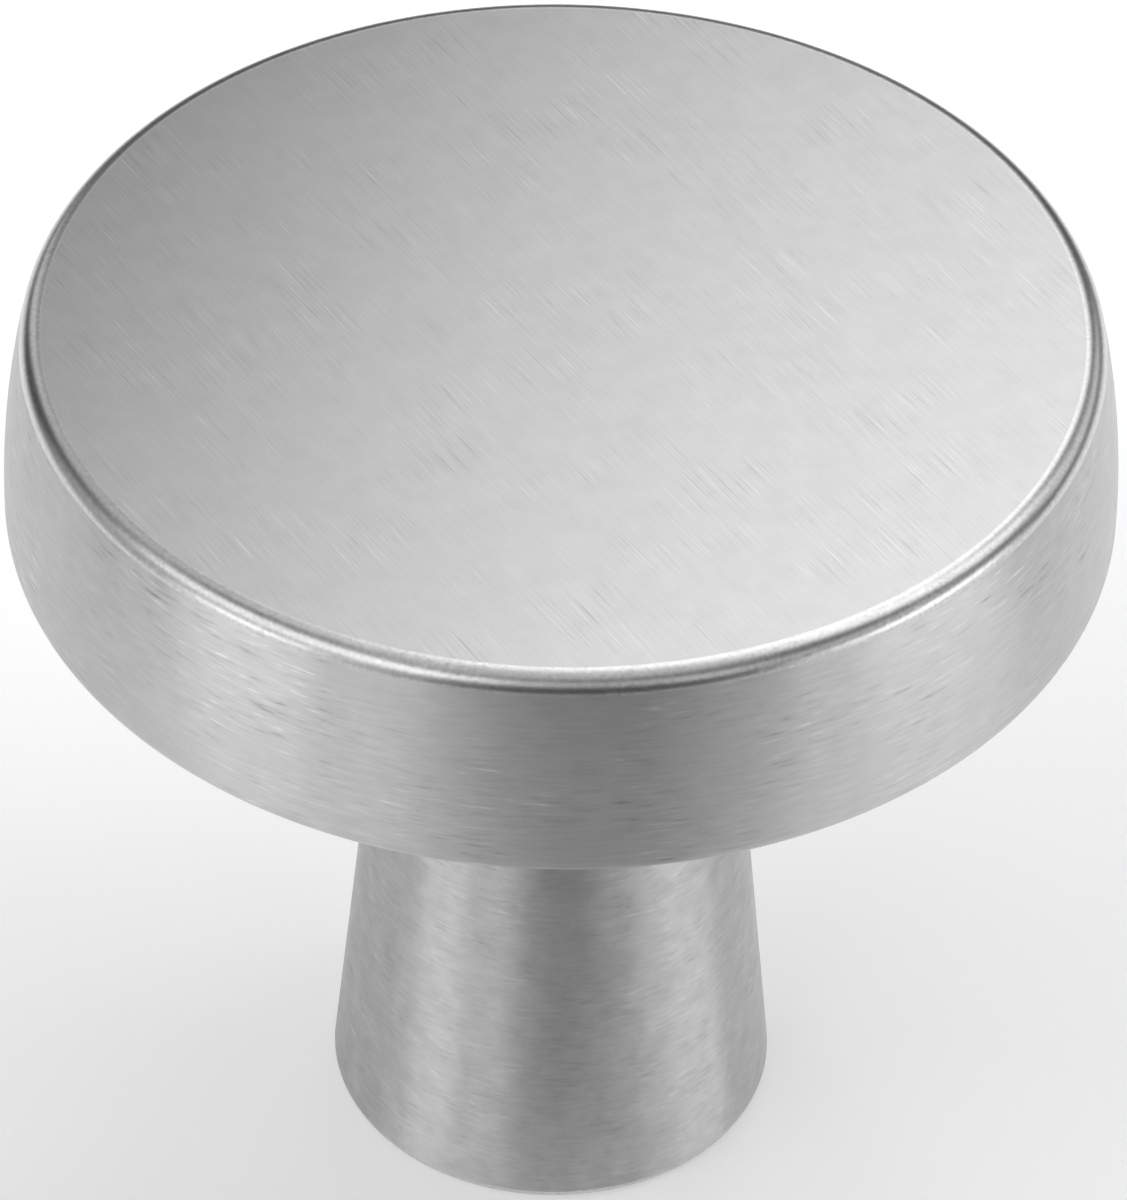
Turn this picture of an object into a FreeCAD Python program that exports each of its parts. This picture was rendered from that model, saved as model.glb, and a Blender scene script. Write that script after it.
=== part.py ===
import FreeCAD, Part
import math
import os
import Sketcher

# Cabinet knob: one solid casting, with a wide round head on a stem that widens towards its foot.
# The head's wall is one shallow arc in profile: it stands upright where the head is widest, just
# above the lower edge, and leans in towards the flat face. The foot is flat, and a blind tapped
# hole in it takes the screw that comes through the drawer front or the door.
#
# The origin is the centre of the foot, where the knob meets the furniture. +Z points out of the
# furniture, along the axis of the knob. All sizes are in millimetres and degrees.

KNOB_SIZES = [
    ("knob_projection", 27.0, "foot to face"),
    ("head_diameter", 30.0, "where the head is widest, at the foot of its wall"),
    ("face_inset", 1.16, "on each side, from where the head is widest in to the flat of the face"),
    ("head_thickness", 6.2, "underside of the head to the face"),
    ("rim_round", 0.6, "round between the wall and the face"),
    ("lip_round", 0.6, "round between the wall and the underside"),
    ("neck_diameter", 8.6, "stem where it meets the head"),
    ("neck_round", 0.8, "inside round between the stem and the head"),
    ("foot_diameter", 12.6, "stem at the furniture"),
    ("foot_round", 0.25, "round on the outer edge of the foot"),
]

SCREW_HOLE_SIZES = [
    ("screw_diameter", 4.0, "outside diameter of the metric screw"),
    ("thread_pitch", 0.7, "pitch of its thread"),
    ("thread_depth", 12.0, "from the foot to the end of the full bore"),
    ("drill_point_angle", 118.0, "cone left by the drill at the blind end"),
    ("countersink_diameter", 4.6, "mouth of the hole at the foot"),
    ("countersink_angle", 90.0, "full angle of the countersunk mouth"),
]

FULL_TURN = 360.0
QUARTER_TURN = math.pi / 2
# how near an edge has to lie to the ring that is looked for
NEAR_ENOUGH = 1e-4

# the sketch's own numbers for its origin, and for the ends and centre of a line or arc
ORIGIN_POINT = (-1, 1)
START, END, CENTRE = 1, 2, 3


def make_size_sheet(document):
    """One row for each size: its name, its value, and what it measures."""
    sheet = document.addObject("Spreadsheet::Sheet", "Sizes")
    for row, (name, value, meaning) in enumerate(KNOB_SIZES + SCREW_HOLE_SIZES, start=1):
        sheet.set(f"A{row}", name)
        sheet.set(f"B{row}", str(value))
        sheet.set(f"C{row}", meaning)
        sheet.setAlias(f"B{row}", name)
    document.recompute()
    return sheet


def origin_plane(body, role):
    for feature in body.Origin.OriginFeatures:
        if feature.Role == role:
            return feature
    raise ValueError(f"{body.Label} has no {role}")


def new_sketch(body, name, plane_role):
    sketch = body.newObject("Sketcher::SketchObject", name)
    sketch.AttachmentSupport = [(origin_plane(body, plane_role), "")]
    sketch.MapMode = "FlatFace"
    return sketch


def join(sketch, first, first_end, second, second_end):
    sketch.addConstraint(Sketcher.Constraint("Coincident", first, first_end, second, second_end))


def dimension(sketch, kind, name, where, value, expression):
    """Adds one named dimension and ties it to the sheet."""
    index = sketch.addConstraint(Sketcher.Constraint(kind, *where, value))
    sketch.renameConstraint(index, name)
    sketch.setExpression(f"Constraints.{name}", expression)


def join_smoothly(sketch, first, second):
    sketch.addConstraint(Sketcher.Constraint("Tangent", first, END, second, START))


def arc_about(centre, radius, start_angle, end_angle):
    circle = Part.Circle(centre, FreeCAD.Vector(0, 0, 1), radius)
    return Part.ArcOfCircle(circle, start_angle, end_angle)


def wall_curve_radius(sheet):
    """The radius of the wall's arc, upright where the head is widest and tangent to the rim's round."""
    inset = sheet.face_inset
    rise = sheet.head_thickness - sheet.lip_round - sheet.rim_round
    return (inset ** 2 + rise ** 2 - sheet.rim_round ** 2) / (2 * (inset - sheet.rim_round))


def draw_profile(body, sheet):
    """Half of the knob's section, on the upright plane through its axis."""
    height = sheet.knob_projection
    underside = height - sheet.head_thickness
    head_radius = sheet.head_diameter / 2
    face_radius = head_radius - sheet.face_inset
    wall_radius = wall_curve_radius(sheet)

    foot_centre = FreeCAD.Vector(0, 0, 0)
    foot_edge = FreeCAD.Vector(sheet.foot_diameter / 2, 0, 0)
    neck = FreeCAD.Vector(sheet.neck_diameter / 2, underside, 0)
    lip_start = FreeCAD.Vector(head_radius - sheet.lip_round, underside, 0)
    lip_centre = lip_start + FreeCAD.Vector(0, sheet.lip_round, 0)
    wall_centre = FreeCAD.Vector(head_radius - wall_radius, lip_centre.y, 0)
    rim_centre = FreeCAD.Vector(face_radius, height - sheet.rim_round, 0)
    face_edge = FreeCAD.Vector(face_radius, height, 0)
    face_centre = FreeCAD.Vector(0, height, 0)
    wall_end = math.atan2(rim_centre.y - wall_centre.y, rim_centre.x - wall_centre.x)

    sketch = new_sketch(body, "KnobProfile", "XZ_Plane")
    foot_line = sketch.addGeometry(Part.LineSegment(foot_centre, foot_edge))
    stem_line = sketch.addGeometry(Part.LineSegment(foot_edge, neck))
    underside_line = sketch.addGeometry(Part.LineSegment(neck, lip_start))
    lip = sketch.addGeometry(arc_about(lip_centre, sheet.lip_round, -QUARTER_TURN, 0.0))
    wall = sketch.addGeometry(arc_about(wall_centre, wall_radius, 0.0, wall_end))
    rim = sketch.addGeometry(arc_about(rim_centre, sheet.rim_round, wall_end, QUARTER_TURN))
    face_line = sketch.addGeometry(Part.LineSegment(face_edge, face_centre))
    axis_line = sketch.addGeometry(Part.LineSegment(face_centre, foot_centre))

    join(sketch, foot_line, START, *ORIGIN_POINT)
    join(sketch, foot_line, END, stem_line, START)
    join(sketch, stem_line, END, underside_line, START)
    join_smoothly(sketch, underside_line, lip)
    join_smoothly(sketch, lip, wall)
    join_smoothly(sketch, wall, rim)
    join_smoothly(sketch, rim, face_line)
    join(sketch, face_line, END, axis_line, START)
    join(sketch, axis_line, END, *ORIGIN_POINT)
    for flat_line in (foot_line, underside_line, face_line):
        sketch.addConstraint(Sketcher.Constraint("Horizontal", flat_line))
    sketch.addConstraint(Sketcher.Constraint("Vertical", axis_line))
    sketch.addConstraint(Sketcher.Constraint("Horizontal", lip, CENTRE, lip, END))

    dimension(sketch, "DistanceX", "foot_radius", (*ORIGIN_POINT, foot_line, END),
              foot_edge.x, "Sizes.foot_diameter / 2")
    dimension(sketch, "DistanceX", "neck_radius", (*ORIGIN_POINT, stem_line, END),
              neck.x, "Sizes.neck_diameter / 2")
    dimension(sketch, "DistanceX", "head_radius", (*ORIGIN_POINT, lip, END),
              head_radius, "Sizes.head_diameter / 2")
    dimension(sketch, "DistanceX", "face_radius", (*ORIGIN_POINT, face_line, START),
              face_radius, "Sizes.head_diameter / 2 - Sizes.face_inset")
    dimension(sketch, "DistanceY", "projection", (*ORIGIN_POINT, face_line, START),
              height, "Sizes.knob_projection")
    dimension(sketch, "DistanceY", "head_thickness", (underside_line, END, face_line, START),
              sheet.head_thickness, "Sizes.head_thickness")
    dimension(sketch, "Radius", "lip_round", (lip,), sheet.lip_round, "Sizes.lip_round")
    dimension(sketch, "Radius", "rim_round", (rim,), sheet.rim_round, "Sizes.rim_round")
    return sketch


def turn_profile(body, sketch):
    """The solid knob, the profile swept once round its axis, with its neck and foot still sharp."""
    solid = body.newObject("PartDesign::Revolution", "KnobForm")
    solid.Profile = sketch
    solid.ReferenceAxis = (sketch, ["V_Axis"])
    solid.Angle = FULL_TURN
    sketch.Visibility = False
    return solid


def ring_edge(shape, radius, height):
    """The name of the circular edge of that radius at that height."""
    for number, edge in enumerate(shape.Edges, start=1):
        if not isinstance(edge.Curve, Part.Circle):
            continue
        same_radius = abs(edge.Curve.Radius - radius) < NEAR_ENOUGH
        same_height = abs(edge.Curve.Center.z - height) < NEAR_ENOUGH
        if same_radius and same_height:
            return f"Edge{number}"
    raise ValueError(f"no edge of radius {radius} at height {height}")


def round_off(body, base, name, size_name, radius, height):
    """Rounds the ring edge of the given radius and height by the size of that name."""
    body.Document.recompute()
    fillet = body.newObject("PartDesign::Fillet", name)
    fillet.Base = (base, [ring_edge(base.Shape, radius, height)])
    fillet.setExpression("Radius", f"Sizes.{size_name}")
    return fillet


def round_stem_ends(body, solid, sheet):
    """The inside corner where the stem meets the head, and the outer edge of the foot."""
    underside = sheet.knob_projection - sheet.head_thickness
    solid = round_off(body, solid, "NeckRound", "neck_round", sheet.neck_diameter / 2, underside)
    return round_off(body, solid, "FootRound", "foot_round", sheet.foot_diameter / 2, 0.0)


def tap_screw_hole(body, sheet):
    """The blind hole up the stem, at its tapping size, countersunk at the foot.

    The bore is the screw's outside diameter less one pitch, which is the drill for its thread.
    """
    bore_radius = (sheet.screw_diameter - sheet.thread_pitch) / 2
    foot_centre = FreeCAD.Vector(0, 0, 0)
    along_axis = FreeCAD.Vector(0, 0, 1)
    sketch = new_sketch(body, "ScrewHoleCircle", "XY_Plane")
    circle = sketch.addGeometry(Part.Circle(foot_centre, along_axis, bore_radius))
    join(sketch, circle, CENTRE, *ORIGIN_POINT)
    dimension(sketch, "Radius", "bore_radius", (circle,),
              bore_radius, "(Sizes.screw_diameter - Sizes.thread_pitch) / 2")
    body.Document.recompute()

    hole = body.newObject("PartDesign::Hole", "ScrewHole")
    hole.Profile = sketch
    body.Document.recompute()
    hole.ThreadType = "None"
    hole.Reversed = True
    hole.DepthType = "Dimension"
    hole.DrillPoint = "Angled"
    hole.DrillForDepth = False
    hole.HoleCutType = "Countersink"
    hole.setExpression("Diameter", "Sizes.screw_diameter - Sizes.thread_pitch")
    hole.setExpression("Depth", "Sizes.thread_depth")
    hole.setExpression("DrillPointAngle", "Sizes.drill_point_angle")
    hole.setExpression("HoleCutDiameter", "Sizes.countersink_diameter")
    hole.setExpression("HoleCutCountersinkAngle", "Sizes.countersink_angle")
    sketch.Visibility = False
    return hole


def make_knob(document, sheet):
    body = document.addObject("PartDesign::Body", "Knob")
    body.Label = "knob"
    body.Placement = FreeCAD.Placement()
    profile = draw_profile(body, sheet)
    solid = turn_profile(body, profile)
    solid = round_stem_ends(body, solid, sheet)
    document.recompute()
    volume_before_drilling = solid.Shape.Volume
    tap_screw_hole(body, sheet)
    document.recompute()
    if body.Shape.Volume >= volume_before_drilling:
        raise RuntimeError("the screw hole took nothing out of the foot")
    return body


def check_document(document, bodies):
    """Stops before anything is written if a sketch is loose, a feature failed or a solid is unsound."""
    for item in document.Objects:
        if "Invalid" in item.State or "Error" in item.State:
            raise RuntimeError(f"{item.Label} failed: {item.State}")
        if item.TypeId == "Sketcher::SketchObject" and not item.FullyConstrained:
            raise RuntimeError(f"{item.Label} has a size or place that nothing sets")
    for body in bodies:
        if body.Shape.isNull() or not body.Shape.isValid() or len(body.Shape.Solids) != 1:
            raise RuntimeError(f"{body.Label} isn't one sound solid")


def write_parts(bodies):
    os.makedirs("parts", exist_ok=True)
    for body in bodies:
        body.Shape.exportStep(f"parts/{body.Label}.step")
        box = body.Shape.optimalBoundingBox()
        print(f"{body.Label}: {body.Shape.Volume:.1f} mm3, "
              f"{box.XLength:.3f} x {box.YLength:.3f} x {box.ZLength:.3f} mm")


document = FreeCAD.newDocument("CabinetKnob")
sizes = make_size_sheet(document)
knob = make_knob(document, sizes)
check_document(document, [knob])
write_parts([knob])
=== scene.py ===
import math

import bmesh
import bpy
from mathutils import Matrix, Vector


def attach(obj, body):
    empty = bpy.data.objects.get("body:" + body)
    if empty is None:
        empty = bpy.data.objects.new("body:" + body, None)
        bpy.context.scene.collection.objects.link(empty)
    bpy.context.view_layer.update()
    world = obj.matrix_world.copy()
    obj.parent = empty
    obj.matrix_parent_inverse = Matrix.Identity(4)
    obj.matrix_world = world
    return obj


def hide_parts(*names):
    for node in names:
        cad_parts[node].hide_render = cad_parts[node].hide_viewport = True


# Round cabinet knob: a zinc die casting, plated with nickel and brushed to a satin.
# The face is brushed straight on a belt; the head's wall and the stem are brushed in the lathe.

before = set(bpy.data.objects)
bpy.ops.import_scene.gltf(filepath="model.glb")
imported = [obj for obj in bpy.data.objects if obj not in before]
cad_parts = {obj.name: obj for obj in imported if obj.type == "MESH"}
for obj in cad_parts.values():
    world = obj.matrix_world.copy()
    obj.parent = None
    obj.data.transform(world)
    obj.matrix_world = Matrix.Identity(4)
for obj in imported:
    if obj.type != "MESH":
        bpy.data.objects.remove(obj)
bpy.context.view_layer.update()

MM = 0.001
FULL_TURN = 2 * math.pi

# Sizes of the knob, in millimetres, the same as in the part's source.
KNOB_HEIGHT = 27.0
HEAD_RADIUS = 15.0
HEAD_THICKNESS = 6.2
FACE_INSET = 1.16
RIM_ROUND = 0.6
LIP_ROUND = 0.6
NECK_RADIUS = 4.3
NECK_ROUND = 0.8
FOOT_RADIUS = 6.3
FOOT_ROUND = 0.25

# The tapped hole for an M4 screw, in millimetres and degrees. The thread's flat root is a share of its pitch.
THREAD_RADIUS = 2.0
THREAD_PITCH = 0.7
THREAD_FLANK_ANGLE = 30.0
THREAD_ROOT_SHARE = 1 / 8
BORE_RADIUS = 1.65
BORE_DEPTH = 12.0
DRILL_POINT_HALF_ANGLE = 59.0
COUNTERSINK_RADIUS = 2.3
TAP_REACH = 10.2
TAP_RUNOUT = 1.4

# How finely the surfaces are cut: columns round the axis, and rows along the stretches of the section.
KNOB_COLUMNS = 288
BORE_COLUMNS = 72
FLAT_ROWS = 6
SIDE_ROWS = 16
ROUND_ROWS = 12
FOOT_ROUND_ROWS = 8
# Points closer than this, in metres, are one point.
SAME_POINT = 1e-8
# Edges sharper than this, in degrees, stay sharp in the shading.
SHARP_EDGE = 35.0

# The finishes, in the order of the knob's material slots.
FINISHES = ("face", "edge", "wall", "underside", "stem", "foot", "bore")


def linear(hex_colour):
    """An sRGB hex colour as linear light, with full alpha."""
    parts = [int(hex_colour[i:i + 2], 16) / 255 for i in (1, 3, 5)]
    return [c / 12.92 if c <= 0.04045 else ((c + 0.055) / 1.055) ** 2.4 for c in parts] + [1.0]


def arc(centre, radius, start, end, steps):
    """Points along an arc of the section, angles in degrees above the outward direction.

    The first point isn't given, because the line before the arc ends on it.
    """
    points = []
    for step in range(1, steps + 1):
        angle = math.radians(start + (end - start) * step / steps)
        points.append((centre[0] + radius * math.cos(angle), centre[1] + radius * math.sin(angle)))
    return points


def line(start, end, steps):
    """Points along a straight stretch of the section, its first point left out."""
    return [tuple(a + (b - a) * step / steps for a, b in zip(start, end)) for step in range(1, steps + 1)]


def knob_section():
    """The outside of the knob from the centre of the face round to the mouth of the screw hole.

    Each entry is a finish and the points, in millimetres, that it runs through.
    """
    underside = KNOB_HEIGHT - HEAD_THICKNESS
    face_edge = (HEAD_RADIUS - FACE_INSET, KNOB_HEIGHT)
    rim_centre = (face_edge[0], KNOB_HEIGHT - RIM_ROUND)
    lip_centre = (HEAD_RADIUS - LIP_ROUND, underside + LIP_ROUND)

    # The wall is one shallow arc, upright at the lip and tangent to the rim's round.
    rise = rim_centre[1] - lip_centre[1]
    wall_radius = (FACE_INSET ** 2 + rise ** 2 - RIM_ROUND ** 2) / (2 * (FACE_INSET - RIM_ROUND))
    wall_centre = (HEAD_RADIUS - wall_radius, lip_centre[1])
    wall_end = math.degrees(math.atan2(rise, rim_centre[0] - wall_centre[0]))

    # The stem's side leans; its outward direction is across the line from foot to neck.
    lean = math.atan2(FOOT_RADIUS - NECK_RADIUS, underside)
    out, up = math.cos(lean), math.sin(lean)
    neck_centre = (NECK_RADIUS + (NECK_ROUND + NECK_ROUND * up) / out, underside - NECK_ROUND)
    foot_centre = (FOOT_RADIUS - (FOOT_ROUND + FOOT_ROUND * up) / out, FOOT_ROUND)
    stem_top = (neck_centre[0] - NECK_ROUND * out, neck_centre[1] - NECK_ROUND * up)
    stem_foot = (foot_centre[0] + FOOT_ROUND * out, foot_centre[1] + FOOT_ROUND * up)
    lean = math.degrees(lean)

    return [
        ("face", line((0.0, KNOB_HEIGHT), face_edge, FLAT_ROWS)),
        ("edge", arc(rim_centre, RIM_ROUND, 90, wall_end, ROUND_ROWS)),
        ("wall", arc(wall_centre, wall_radius, wall_end, 0, SIDE_ROWS)),
        ("wall", arc(lip_centre, LIP_ROUND, 0, -90, ROUND_ROWS)),
        ("underside", line((lip_centre[0], underside), (neck_centre[0], underside), FLAT_ROWS)),
        ("stem", arc(neck_centre, NECK_ROUND, 90, 180 + lean, ROUND_ROWS)),
        ("stem", line(stem_top, stem_foot, SIDE_ROWS)),
        ("edge", arc(foot_centre, FOOT_ROUND, lean, -90, FOOT_ROUND_ROWS)),
    ]


def thread_rows():
    """Where the thread's corners lie in one pitch, and how far each stands out from the bore, 0 to 1."""
    flank = (THREAD_RADIUS - BORE_RADIUS) * math.tan(math.radians(THREAD_FLANK_ANGLE)) / THREAD_PITCH
    crest_flat = 1 - THREAD_ROOT_SHARE - 2 * flank
    return [
        (0.0, 0.0),
        (crest_flat / 2, 0.0),
        (crest_flat, 0.0),
        (crest_flat + flank / 2, 0.5),
        (crest_flat + flank, 1.0),
        (crest_flat + flank + THREAD_ROOT_SHARE, 1.0),
        (crest_flat + 1.5 * flank + THREAD_ROOT_SHARE, 0.5),
    ]


def bore_radius(height, cut):
    """The hole's radius at a height: the thread, run out at the end of the tap, or the countersink."""
    run_out = min(max((TAP_REACH + TAP_RUNOUT - height) / TAP_RUNOUT, 0.0), 1.0)
    threaded = BORE_RADIUS + (THREAD_RADIUS - BORE_RADIUS) * cut * run_out
    return max(threaded, COUNTERSINK_RADIUS - height)


def lathe_point(shape, radius, height, turn):
    """A point of the skin, given in millimetres and as a share of a turn."""
    angle = FULL_TURN * turn
    return shape.verts.new((radius * math.cos(angle) * MM, radius * math.sin(angle) * MM, height * MM))


def turn_outside(shape):
    """The outside, from the centre of the face to the foot's flat. Returns its last ring."""
    centre = lathe_point(shape, 0.0, KNOB_HEIGHT, 0.0)
    ring = None
    for finish, points in knob_section():
        for radius, height in points:
            new_ring = [lathe_point(shape, radius, height, i / KNOB_COLUMNS) for i in range(KNOB_COLUMNS)]
            for i in range(KNOB_COLUMNS):
                j = (i + 1) % KNOB_COLUMNS
                inner_corners = (ring[i], ring[j]) if ring else (centre,)
                corners = inner_corners + (new_ring[j], new_ring[i])
                shape.faces.new(corners).material_index = FINISHES.index(finish)
            ring = new_ring
    return ring


def cut_screw_hole(shape, foot_ring):
    """The tapped hole. Its rows follow the helix, and close on level rings at the mouth and the blind end."""
    rows = thread_rows()
    turns = math.ceil(BORE_DEPTH / THREAD_PITCH) + 2
    grid = []
    for turn in range(turns):
        for share, cut in rows:
            row = []
            for column in range(BORE_COLUMNS):
                around = column / BORE_COLUMNS
                height = min(max((turn - 1 + share + around) * THREAD_PITCH, 0.0), BORE_DEPTH)
                row.append(lathe_point(shape, bore_radius(height, cut), height, around))
            grid.append(row)

    # A row that has gone once round goes on as the row one pitch higher.
    bore = FINISHES.index("bore")
    for low in range(len(grid) - 1 - len(rows)):
        for column in range(BORE_COLUMNS):
            on = column + 1
            step = len(rows) * (on // BORE_COLUMNS)
            corners = (
                grid[low][column],
                grid[low + 1][column],
                grid[low + 1 + step][on % BORE_COLUMNS],
                grid[low + step][on % BORE_COLUMNS],
            )
            shape.faces.new(corners).material_index = bore

    # The foot's flat joins the knob's last ring to the mouth, several of its columns to one of the hole's.
    share = KNOB_COLUMNS // BORE_COLUMNS
    mouth = grid[0]
    blind_end = grid[-1]
    drill_tip_height = BORE_DEPTH + BORE_RADIUS / math.tan(math.radians(DRILL_POINT_HALF_ANGLE))
    drill_tip = lathe_point(shape, 0.0, drill_tip_height, 0.0)
    for column in range(BORE_COLUMNS):
        on = (column + 1) % BORE_COLUMNS
        outer = [foot_ring[(column * share + i) % KNOB_COLUMNS] for i in range(share + 1)]
        shape.faces.new(outer + [mouth[on], mouth[column]]).material_index = FINISHES.index("foot")
        shape.faces.new((blind_end[column], blind_end[on], drill_tip)).material_index = bore


def make_knob(finishes):
    """The whole casting as one closed skin, with the thread that the solid leaves out."""
    shape = bmesh.new()
    foot_ring = turn_outside(shape)
    cut_screw_hole(shape, foot_ring)
    bmesh.ops.remove_doubles(shape, verts=shape.verts, dist=SAME_POINT)
    bmesh.ops.recalc_face_normals(shape, faces=shape.faces)
    for face in shape.faces:
        face.smooth = True
    for edge in shape.edges:
        edge.smooth = edge.is_manifold and edge.calc_face_angle() < math.radians(SHARP_EDGE)
    mesh = bpy.data.meshes.new("satin_knob")
    shape.to_mesh(mesh)
    shape.free()
    knob = bpy.data.objects.new("satin_knob", mesh)
    bpy.context.scene.collection.objects.link(knob)
    for finish in FINISHES:
        mesh.materials.append(finishes[finish])
    even_shading = knob.modifiers.new("even_shading", "WEIGHTED_NORMAL")
    even_shading.keep_sharp = True
    return knob


def add_node(tree, kind, inputs=None, **settings):
    """Adds a node with its settings.

    An input, by its name or place, is given a value, or another node's output to take it from.
    """
    node = tree.nodes.new(kind)
    for name, value in settings.items():
        setattr(node, name, value)
    for name, value in (inputs or {}).items():
        if isinstance(value, bpy.types.NodeSocket):
            tree.links.new(value, node.inputs[name])
        else:
            node.inputs[name].default_value = value
    return node


def new_material(name):
    """A material with an empty node tree."""
    material = bpy.data.materials.new(name)
    material.use_nodes = True
    material.node_tree.nodes.clear()
    return material, material.node_tree


# Satin nickel plate over the zinc is a neutral grey. The bottom of a brush line is duller, a freshly cut
# ridge lighter, and half way between them is the plate's own grey.
NICKEL_DULL = "#A8A8A8"
NICKEL_BRIGHT = "#F4F4F4"
# The belt ran across the face at this angle, in degrees from the X axis.
BELT_ANGLE = -57.0
# In millimetres: how large the clouds in the plate are, and how deep a brush line is.
CLOUD_SIZE = 0.8
LINE_DEPTH = 0.0016
# A tangent along the lines is turned by this share of a turn, so that highlights stretch across them.
ACROSS_LINES = 0.25


def brushed_nickel(name, roughness, anisotropy, line_length, line_width, grain, scratches,
                   belt_angle=None, patch_size=3.0, clouds=0.04):
    """Satin nickel plate over brushed zinc, with sizes in millimetres.

    The abrasive stretches the highlights across its fine lines, which run round the knob's axis, or straight
    at the belt's angle. The real ones are about 0.01 mm wide, too fine to show, so they are drawn wider. The
    grain is everywhere, and single deeper scratches stand out in patches. Clouds are where the plate is
    duller.
    """
    material, tree = new_material(name)
    place = add_node(tree, "ShaderNodeTexCoord").outputs["Object"]
    if belt_angle is None:
        turn = (0.0, 0.0, 0.0)
        line_size = Vector((line_length, line_length, line_width)) * MM
        tangent = add_node(tree, "ShaderNodeTangent", direction_type="RADIAL", axis="Z").outputs["Tangent"]
    else:
        turn = (0.0, 0.0, math.radians(belt_angle))
        line_size = Vector((line_length, line_width, line_width)) * MM
        along = (math.cos(turn[2]), math.sin(turn[2]), 0.0)
        tangent = add_node(tree, "ShaderNodeCombineXYZ", dict(zip("XYZ", along))).outputs["Vector"]
    along_lines = add_node(tree, "ShaderNodeMapping", {"Vector": place, "Rotation": turn, "Scale": line_size},
                           vector_type="TEXTURE").outputs["Vector"]
    line_noise = add_node(tree, "ShaderNodeTexNoise", {
        "Vector": along_lines, "Scale": 1.0, "Detail": 2.0, "Roughness": 0.5}).outputs["Fac"]
    patch_noise = add_node(tree, "ShaderNodeTexNoise", {
        "Vector": place, "Scale": 1.0 / (patch_size * MM), "Detail": 2.0}).outputs["Fac"]
    cloud_noise = add_node(tree, "ShaderNodeTexNoise", {
        "Vector": place, "Scale": 1.0 / (CLOUD_SIZE * MM), "Detail": 3.0, "Roughness": 0.6}).outputs["Fac"]

    # The middle of each noise, where nearly all of its values lie, is stretched over the range it needs.
    lines = add_node(tree, "ShaderNodeMapRange", {
        "Value": line_noise, "From Min": 0.25, "From Max": 0.75, "To Min": -1.0}).outputs["Result"]
    patches = add_node(tree, "ShaderNodeMapRange", {
        "Value": patch_noise, "From Min": 0.45, "From Max": 0.62, "To Max": scratches}).outputs["Result"]
    plate = add_node(tree, "ShaderNodeMapRange", {
        "Value": cloud_noise, "From Min": 0.3, "From Max": 0.7,
        "To Min": 0.5 - clouds, "To Max": 0.5 + clouds}).outputs["Result"]

    # Only the highest and lowest lines are scratches: the square of the noise keeps the others back.
    peaks = add_node(tree, "ShaderNodeMath", {0: lines, 1: lines}, operation="MULTIPLY").outputs["Value"]
    strength = add_node(tree, "ShaderNodeMath", {0: peaks, 1: patches, 2: grain},
                        operation="MULTIPLY_ADD").outputs["Value"]
    tone = add_node(tree, "ShaderNodeMath", {0: lines, 1: strength, 2: plate},
                    operation="MULTIPLY_ADD").outputs["Value"]
    colour = add_node(tree, "ShaderNodeMix", {
        "Factor": tone, 6: linear(NICKEL_DULL), 7: linear(NICKEL_BRIGHT)}, data_type="RGBA").outputs[2]
    bump = add_node(tree, "ShaderNodeBump", {"Height": tone, "Distance": LINE_DEPTH * MM}).outputs["Normal"]
    metal = add_node(tree, "ShaderNodeBsdfPrincipled", {
        "Base Color": colour,
        "Metallic": 1.0,
        "Roughness": roughness,
        "Anisotropic": anisotropy,
        "Anisotropic Rotation": ACROSS_LINES,
        "Tangent": tangent,
        "Normal": bump,
    })
    add_node(tree, "ShaderNodeOutputMaterial", {"Surface": metal.outputs["BSDF"]})
    return material


# The paper under the knob is white where it is in view, and graded to grey in front of the knob, out of view,
# so that the front of the head and stem has something darker to mirror. Distances are in millimetres from the
# knob's axis; the grey's middle and its edges are sideways distances as shares of the distance forward.
PAPER_WHITE = "#F8F8F8"
PAPER_GREY = "#D6D6D6"
GREY_STARTS = 9.0
GREY_FULL = 16.0
GREY_MIDDLE = 0.15
GREY_INNER_EDGE = 0.15
GREY_OUTER_EDGE = 0.75
# The paper is a little lower than the foot's flat, so that the two don't lie in one plane.
PAPER_GAP = 0.02
PAPER_RADIUS = 1500.0
PAPER_CORNERS = 96
# How far the paper is lifted towards white for the camera and in the metal, where 1 is white: beside the
# knob, and behind it, at this distance from its axis. The grey isn't lifted.
SIDE_LIFT = 0.25
BACK_LIFT = 0.5
BACK_DISTANCE = 45.0


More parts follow.
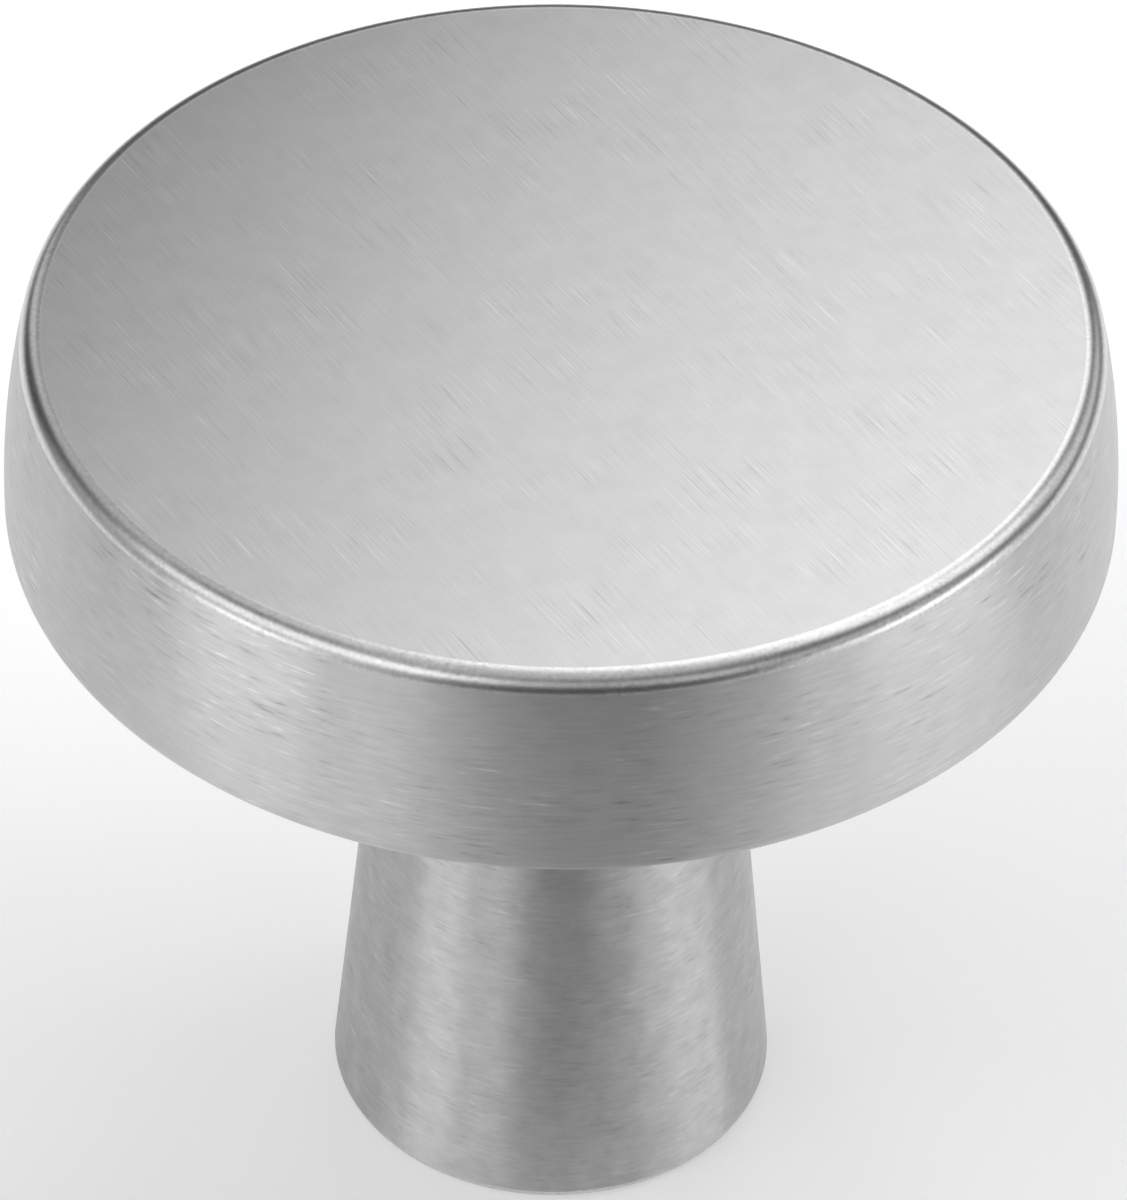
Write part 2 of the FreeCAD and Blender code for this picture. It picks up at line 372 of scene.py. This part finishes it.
def plain_stage():
    """White paper that keeps the knob's shadow.

    Its material adds a glow that only the camera and the metal's mirror images see, and so it is white to
    both.
    """
    material, tree = new_material("graded_paper")
    place = add_node(tree, "ShaderNodeTexCoord").outputs["Object"]
    across = add_node(tree, "ShaderNodeSeparateXYZ", {"Vector": place}).outputs
    forward = add_node(tree, "ShaderNodeMath", {0: across["Y"], 1: -1.0},
                       operation="MULTIPLY").outputs["Value"]
    in_front = add_node(tree, "ShaderNodeMapRange", {
        "Value": forward, "From Min": GREY_STARTS * MM, "From Max": GREY_FULL * MM}).outputs["Result"]
    sideways = add_node(tree, "ShaderNodeMath", {0: across["X"], 1: forward},
                        operation="DIVIDE").outputs["Value"]
    to_middle = add_node(tree, "ShaderNodeMath", {0: sideways, 1: GREY_MIDDLE},
                         operation="SUBTRACT").outputs["Value"]
    off_middle = add_node(tree, "ShaderNodeMath", {0: to_middle}, operation="ABSOLUTE").outputs["Value"]
    in_sector = add_node(tree, "ShaderNodeMapRange", {
        "Value": off_middle, "From Min": GREY_OUTER_EDGE, "From Max": GREY_INNER_EDGE}).outputs["Result"]
    grey = add_node(tree, "ShaderNodeMath", {0: in_front, 1: in_sector},
                    operation="MULTIPLY").outputs["Value"]
    colour = add_node(tree, "ShaderNodeMix", {
        "Factor": grey, 6: linear(PAPER_WHITE), 7: linear(PAPER_GREY)}, data_type="RGBA").outputs[2]
    matt = add_node(tree, "ShaderNodeBsdfDiffuse", {"Color": colour}).outputs["BSDF"]

    rays = add_node(tree, "ShaderNodeLightPath").outputs
    seen = add_node(tree, "ShaderNodeMath", {0: rays["Is Camera Ray"], 1: rays["Is Glossy Ray"]},
                    operation="ADD").outputs["Value"]
    seen_or_through = add_node(tree, "ShaderNodeMath", {0: seen, 1: rays["Is Transmission Ray"]},
                               operation="ADD").outputs["Value"]
    white = add_node(tree, "ShaderNodeMath", {0: 1.0, 1: grey}, operation="SUBTRACT").outputs["Value"]
    lift = add_node(tree, "ShaderNodeMapRange", {
        "Value": across["Y"], "From Max": BACK_DISTANCE * MM, "To Min": SIDE_LIFT, "To Max": BACK_LIFT,
    }).outputs["Result"]
    white_lift = add_node(tree, "ShaderNodeMath", {0: white, 1: lift},
                          operation="MULTIPLY").outputs["Value"]
    strength = add_node(tree, "ShaderNodeMath", {0: seen_or_through, 1: white_lift},
                        operation="MULTIPLY").outputs["Value"]
    glow = add_node(tree, "ShaderNodeEmission", {"Strength": strength}).outputs["Emission"]
    paper = add_node(tree, "ShaderNodeAddShader", {0: matt, 1: glow}).outputs["Shader"]
    add_node(tree, "ShaderNodeOutputMaterial", {"Surface": paper})
    bpy.ops.mesh.primitive_circle_add(vertices=PAPER_CORNERS, radius=PAPER_RADIUS * MM, fill_type="NGON",
                                      location=(0, 0, -PAPER_GAP * MM))
    table = bpy.context.object
    table.name = "table"
    table.data.materials.append(material)


# The camera, found by fitting the outline of the solid to the photo's. It is that far from a point on the
# knob's axis, in millimetres, and its angles are in radians.
CAMERA_DISTANCE = 190.0
CAMERA_ELEVATION = 0.72335
CAMERA_ROLL = -0.01783
CAMERA_PAN = -0.00067
CAMERA_TILT = 0.00357
FOCAL_LENGTH_PX = 6903.8
PHOTO_HEIGHT_PX = 1200
SENSOR_SIZE = 36.0
AIM_HEIGHT = 16.2
NEAREST_SEEN = 1.0
FARTHEST_SEEN = 10000.0


def place_camera():
    """The camera looks down at the knob from the front, then turns a little by its pan, tilt and roll."""
    camera = bpy.data.objects.new("camera", bpy.data.cameras.new("camera"))
    bpy.context.scene.collection.objects.link(camera)
    back = Vector((0.0, -math.cos(CAMERA_ELEVATION), math.sin(CAMERA_ELEVATION)))
    forward = -back
    right = Vector((1.0, 0.0, 0.0))
    up = right.cross(forward)
    pan = Matrix.Rotation(CAMERA_PAN, 3, up)
    forward, right = pan @ forward, pan @ right
    tilt = Matrix.Rotation(CAMERA_TILT, 3, right)
    forward, up = tilt @ forward, tilt @ up
    roll = Matrix.Rotation(CAMERA_ROLL, 3, forward)
    right, up = roll @ right, roll @ up
    turned = Matrix((right, up, -forward)).transposed().to_4x4()
    place = (Vector((0.0, 0.0, AIM_HEIGHT)) + back * CAMERA_DISTANCE) * MM
    camera.matrix_world = Matrix.Translation(place) @ turned
    camera.data.sensor_fit = "AUTO"
    camera.data.sensor_width = SENSOR_SIZE
    camera.data.lens = FOCAL_LENGTH_PX / PHOTO_HEIGHT_PX * SENSOR_SIZE
    camera.data.clip_start = NEAREST_SEEN * MM
    camera.data.clip_end = FARTHEST_SEEN * MM
    bpy.context.scene.camera = camera


# The studio's softboxes, all aimed at the head from the same distance. For each: the direction it stands in
# (azimuth 0 is the camera's side, 90 is to its right), its height above the table, how wide and high it
# looks from the knob, all in degrees, and its brightness, where a mirror shows a box of 1 as white. The
# brightness was matched to the tones that the metal has in the photo.
SOFTBOX_DISTANCE = 250.0
SOFTBOXES = {
    "zenith": (0, 90, 44, 44, 0.6),
    "back_zenith": (180, 70, 90, 22, 0.4),
    "front_top": (0, 62, 70, 26, 0.1),
    "front_mid": (0, 40, 60, 20, 0.6),
    "left": (-50, 14, 52, 28, 0.5),
    "left_low": (-58, 7, 24, 14, 2.0),
    "left_bank": (-56, 42, 60, 26, 1.5),
    "left_side": (-96, 16, 36, 26, 0.4),
    "back_left": (-146, 24, 14, 22, 0.9),
    "back_left_high": (-142, 44, 24, 24, 0.5),
    "back": (168, 50, 26, 34, 1.8),
    "back_mid": (178, 40, 40, 20, 0.2),
    "back_right_low": (124, 22, 36, 16, 1.0),
    "right_back_high": (108, 52, 26, 36, 1.5),
    "right_low": (68, 8, 50, 16, 1.2),
    "right_lowest": (72, 5, 30, 8, 2.5),
    "right_bank": (52, 31, 52, 14, 0.7),
}
AIM = Vector((0.0, 0.0, 20.0))
# How bright the room behind the softboxes is.
ROOM_LIGHT = 0.0


def softbox(name, azimuth, elevation, width, height, brightness):
    """A lamp that shines evenly over its whole face, and that the camera doesn't see."""
    lamp = bpy.data.lights.new(name, "AREA")
    lamp.shape = "RECTANGLE"
    lamp.size = 2 * SOFTBOX_DISTANCE * math.tan(math.radians(width / 2)) * MM
    lamp.size_y = 2 * SOFTBOX_DISTANCE * math.tan(math.radians(height / 2)) * MM
    lamp.energy = brightness * math.pi * lamp.size * lamp.size_y
    holder = bpy.data.objects.new(name, lamp)
    bpy.context.scene.collection.objects.link(holder)
    side, rise = math.radians(azimuth), math.radians(elevation)
    out = Vector((math.sin(side) * math.cos(rise), -math.cos(side) * math.cos(rise), math.sin(rise)))
    holder.location = (AIM + out * SOFTBOX_DISTANCE) * MM
    holder.rotation_mode = "QUATERNION"
    holder.rotation_quaternion = out.to_track_quat("Z", "Y")
    holder.visible_camera = False


def light_the_stage():
    """The softboxes in a dark room."""
    world = bpy.data.worlds.new("studio")
    bpy.context.scene.world = world
    world.use_nodes = True
    world.node_tree.nodes["Background"].inputs["Color"].default_value = (1, 1, 1, 1)
    world.node_tree.nodes["Background"].inputs["Strength"].default_value = ROOM_LIGHT
    for name, setting in SOFTBOXES.items():
        softbox(name, *setting)


# The face is run over an abrasive belt, and the wall and the stem are brushed while they turn, so their
# highlights are long and soft. The rim is rubbed over by hand and has hardly any direction. What isn't seen
# in use, the underside, the foot and the hole, is plated as it was cut, and looks duller and evenly fine.
finishes = {
    "face": brushed_nickel("belt_brushed_nickel", roughness=0.34, anisotropy=0.8, line_length=2.2,
                           line_width=0.06, belt_angle=BELT_ANGLE, grain=0.045, scratches=0.3,
                           patch_size=2.5, clouds=0.04),
    "edge": brushed_nickel("rubbed_nickel_edge", roughness=0.32, anisotropy=0.2, line_length=0.12,
                           line_width=0.1, grain=0.15, scratches=0.2),
    "wall": brushed_nickel("turned_nickel_wall", roughness=0.36, anisotropy=0.95, line_length=0.9,
                           line_width=0.1, grain=0.07, scratches=0.4, patch_size=3.5),
    "underside": brushed_nickel("plated_underside", roughness=0.4, anisotropy=0.2, line_length=1.0,
                                line_width=0.15, grain=0.15, scratches=0.0),
    "stem": brushed_nickel("turned_nickel_stem", roughness=0.4, anisotropy=1.0, line_length=0.6,
                           line_width=0.1, grain=0.08, scratches=0.2, patch_size=1.2, clouds=0.1),
    "foot": brushed_nickel("plated_foot", roughness=0.42, anisotropy=0.0, line_length=0.4, line_width=0.2,
                           grain=0.2, scratches=0.0),
    "bore": brushed_nickel("tapped_bore", roughness=0.4, anisotropy=0.0, line_length=0.5, line_width=0.1,
                           grain=0.2, scratches=0.0),
}
knob = make_knob(finishes)
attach(knob, "root")
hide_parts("knob")
plain_stage()
light_the_stage()
place_camera()
bpy.context.scene.view_settings.view_transform = "Standard"
